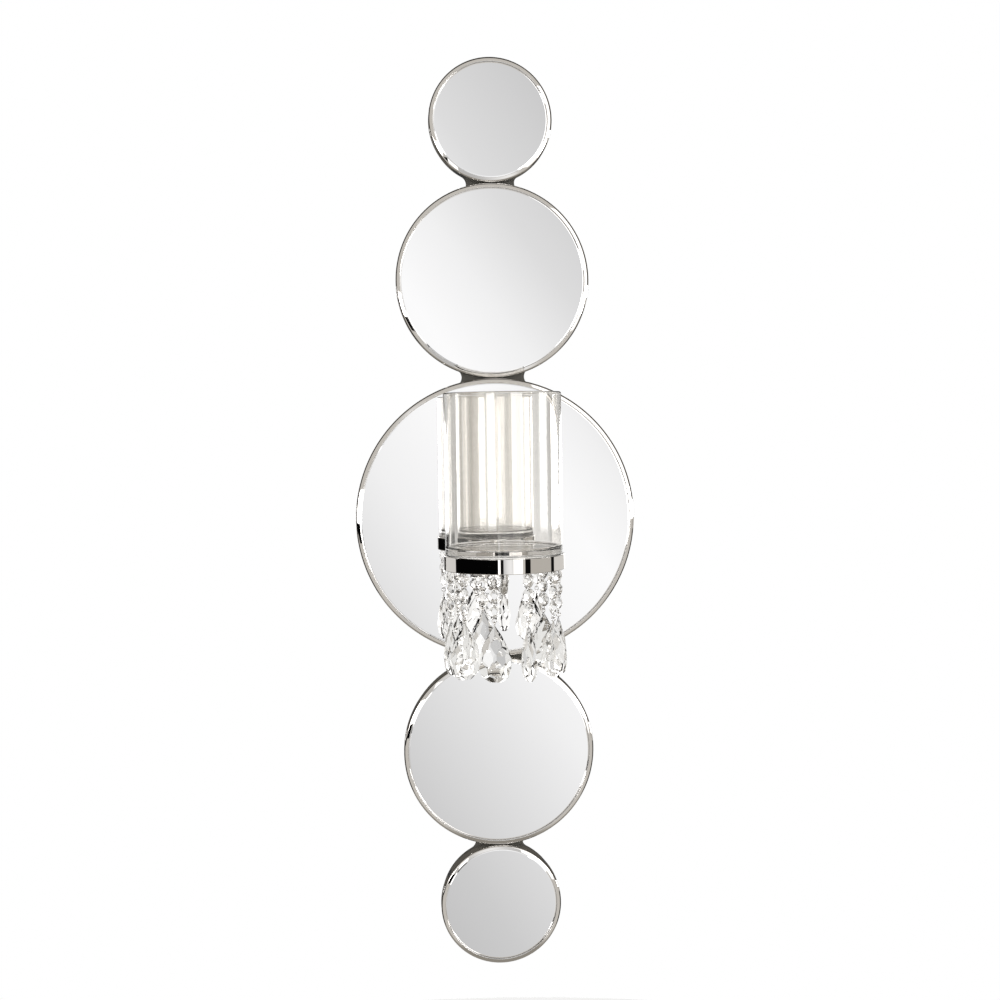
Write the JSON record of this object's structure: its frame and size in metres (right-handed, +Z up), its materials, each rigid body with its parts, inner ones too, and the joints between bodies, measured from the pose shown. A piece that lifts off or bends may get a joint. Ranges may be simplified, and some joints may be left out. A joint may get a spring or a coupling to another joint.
{
  "type": "wall sconce candle holder",
  "caption": "Wall sconce: a column of round mirrors in chrome bands on one back board, with a clear glass candle cup in a chrome pan on an arm and crystal strands below it.",
  "frame": {"origin": "the wall plane behind the centre of the largest mirror, on the back face of the back board", "axes": "+Z up, -Y out of the wall towards the room, +X to the right as seen from the room"},
  "size_m": [0.254, 0.1768, 0.8276],
  "materials": {
    "chrome": "polished chrome plate",
    "mirror": "silvered and bevelled",
    "clear_glass": "clear, with fine seeds",
    "crystal": "cut and polished",
    "painted_board": "fibreboard painted dark grey",
    "fibreboard": "raw fibreboard",
    "zinc_steel": "zinc plated"
  },
  "bodies": {
    "sconce": {"mirror_band_top": "chrome", "mirror_top": "mirror", "mirror_backer_top": "fibreboard", "mirror_band_upper": "chrome", "mirror_upper": "mirror", "mirror_backer_upper": "fibreboard", "mirror_band_centre": "chrome", "mirror_centre": "mirror", "mirror_backer_centre": "fibreboard", "mirror_band_lower": "chrome", "mirror_lower": "mirror", "mirror_backer_lower": "fibreboard", "mirror_band_bottom": "chrome", "mirror_bottom": "mirror", "mirror_backer_bottom": "fibreboard", "back_board": "painted_board", "hanger_plate_left": "zinc_steel", "hanger_screw_left_upper": "zinc_steel", "hanger_screw_left_lower": "zinc_steel", "hanger_plate_right": "zinc_steel", "hanger_screw_right_upper": "zinc_steel", "hanger_screw_right_lower": "zinc_steel", "arm": "chrome", "arm_rosette": "chrome", "arm_washer": "zinc_steel", "arm_nut": "zinc_steel", "glass_pan": "chrome", "pan_screw": "zinc_steel", "strand_eye_1": "chrome", "strand_eye_2": "chrome", "strand_eye_3": "chrome", "strand_eye_4": "chrome", "strand_eye_5": "chrome", "strand_eye_6": "chrome", "strand_eye_7": "chrome", "strand_eye_8": "chrome", "strand_eye_9": "chrome"},
    "glass": {"glass_cup": "clear_glass"},
    "chain_1": {"bead_chain_1": "crystal"},
    "drop_1": {"crystal_drop_1": "crystal"},
    "chain_2": {"bead_chain_2": "crystal"},
    "drop_2": {"crystal_drop_2": "crystal"},
    "chain_3": {"bead_chain_3": "crystal"},
    "drop_3": {"crystal_drop_3": "crystal"},
    "chain_4": {"bead_chain_4": "crystal"},
    "drop_4": {"crystal_drop_4": "crystal"},
    "chain_5": {"bead_chain_5": "crystal"},
    "drop_5": {"crystal_drop_5": "crystal"},
    "chain_6": {"bead_chain_6": "crystal"},
    "drop_6": {"crystal_drop_6": "crystal"},
    "chain_7": {"bead_chain_7": "crystal"},
    "drop_7": {"crystal_drop_7": "crystal"},
    "chain_8": {"bead_chain_8": "crystal"},
    "drop_8": {"crystal_drop_8": "crystal"},
    "chain_9": {"bead_chain_9": "crystal"},
    "drop_9": {"crystal_drop_9": "crystal"}
  },
  "joints": [
    {"name": "glass_lift", "type": "slide", "parent": "sconce", "child": "glass", "axis": [0, 0, 1], "range_m": [0, 0.06]},
    {"name": "chain_swing_1", "type": "hinge", "parent": "sconce", "child": "chain_1", "pos_m": [-0.01183, -0.16414, -0.0344], "axis": [-0.9659, 0.2588, 0], "range_deg": [-4, 30]},
    {"name": "drop_swing_1", "type": "hinge", "parent": "chain_1", "child": "drop_1", "pos_m": [-0.01183, -0.16414, -0.076], "axis": [-0.9659, 0.2588, 0], "range_deg": [-4, 30]},
    {"name": "chain_swing_2", "type": "hinge", "parent": "sconce", "child": "chain_2", "pos_m": [0.01638, -0.16267, -0.0344], "axis": [-0.9336, -0.3584, 0], "range_deg": [-4, 30]},
    {"name": "drop_swing_2", "type": "hinge", "parent": "chain_2", "child": "drop_2", "pos_m": [0.01638, -0.16267, -0.076], "axis": [-0.9336, -0.3584, 0], "range_deg": [-4, 30]},
    {"name": "chain_swing_3", "type": "hinge", "parent": "sconce", "child": "chain_3", "pos_m": [0.03833, -0.14489, -0.0344], "axis": [-0.5446, -0.8387, 0], "range_deg": [-4, 30]},
    {"name": "drop_swing_3", "type": "hinge", "parent": "chain_3", "child": "drop_3", "pos_m": [0.03833, -0.14489, -0.076], "axis": [-0.5446, -0.8387, 0], "range_deg": [-4, 30]},
    {"name": "chain_swing_4", "type": "hinge", "parent": "sconce", "child": "chain_4", "pos_m": [0.04564, -0.11761, -0.0344], "axis": [0.0523, -0.9986, 0], "range_deg": [-4, 30]},
    {"name": "drop_swing_4", "type": "hinge", "parent": "chain_4", "child": "drop_4", "pos_m": [0.04564, -0.11761, -0.076], "axis": [0.0523, -0.9986, 0], "range_deg": [-4, 30]},
    {"name": "chain_swing_5", "type": "hinge", "parent": "sconce", "child": "chain_5", "pos_m": [0.03552, -0.09124, -0.0344], "axis": [0.6293, -0.7771, 0], "range_deg": [-4, 30]},
    {"name": "drop_swing_5", "type": "hinge", "parent": "chain_5", "child": "drop_5", "pos_m": [0.03552, -0.09124, -0.076], "axis": [0.6293, -0.7771, 0], "range_deg": [-4, 30]},
    {"name": "chain_swing_6", "type": "hinge", "parent": "sconce", "child": "chain_6", "pos_m": [-0.01638, -0.07734, -0.0344], "axis": [0.9336, 0.3584, 0], "range_deg": [-4, 24]},
    {"name": "drop_swing_6", "type": "hinge", "parent": "chain_6", "child": "drop_6", "pos_m": [-0.01638, -0.07734, -0.076], "axis": [0.9336, 0.3584, 0], "range_deg": [-4, 22]},
    {"name": "chain_swing_7", "type": "hinge", "parent": "sconce", "child": "chain_7", "pos_m": [-0.03833, -0.09511, -0.0344], "axis": [0.5446, 0.8387, 0], "range_deg": [-4, 30]},
    {"name": "drop_swing_7", "type": "hinge", "parent": "chain_7", "child": "drop_7", "pos_m": [-0.03833, -0.09511, -0.076], "axis": [0.5446, 0.8387, 0], "range_deg": [-4, 30]},
    {"name": "chain_swing_8", "type": "hinge", "parent": "sconce", "child": "chain_8", "pos_m": [-0.04564, -0.12239, -0.0344], "axis": [-0.0523, 0.9986, 0], "range_deg": [-4, 30]},
    {"name": "drop_swing_8", "type": "hinge", "parent": "chain_8", "child": "drop_8", "pos_m": [-0.04564, -0.12239, -0.076], "axis": [-0.0523, 0.9986, 0], "range_deg": [-4, 30]},
    {"name": "chain_swing_9", "type": "hinge", "parent": "sconce", "child": "chain_9", "pos_m": [-0.03552, -0.14876, -0.0344], "axis": [-0.6293, 0.7771, 0], "range_deg": [-4, 30]},
    {"name": "drop_swing_9", "type": "hinge", "parent": "chain_9", "child": "drop_9", "pos_m": [-0.03552, -0.14876, -0.076], "axis": [-0.6293, 0.7771, 0], "range_deg": [-4, 30]}
  ]
}
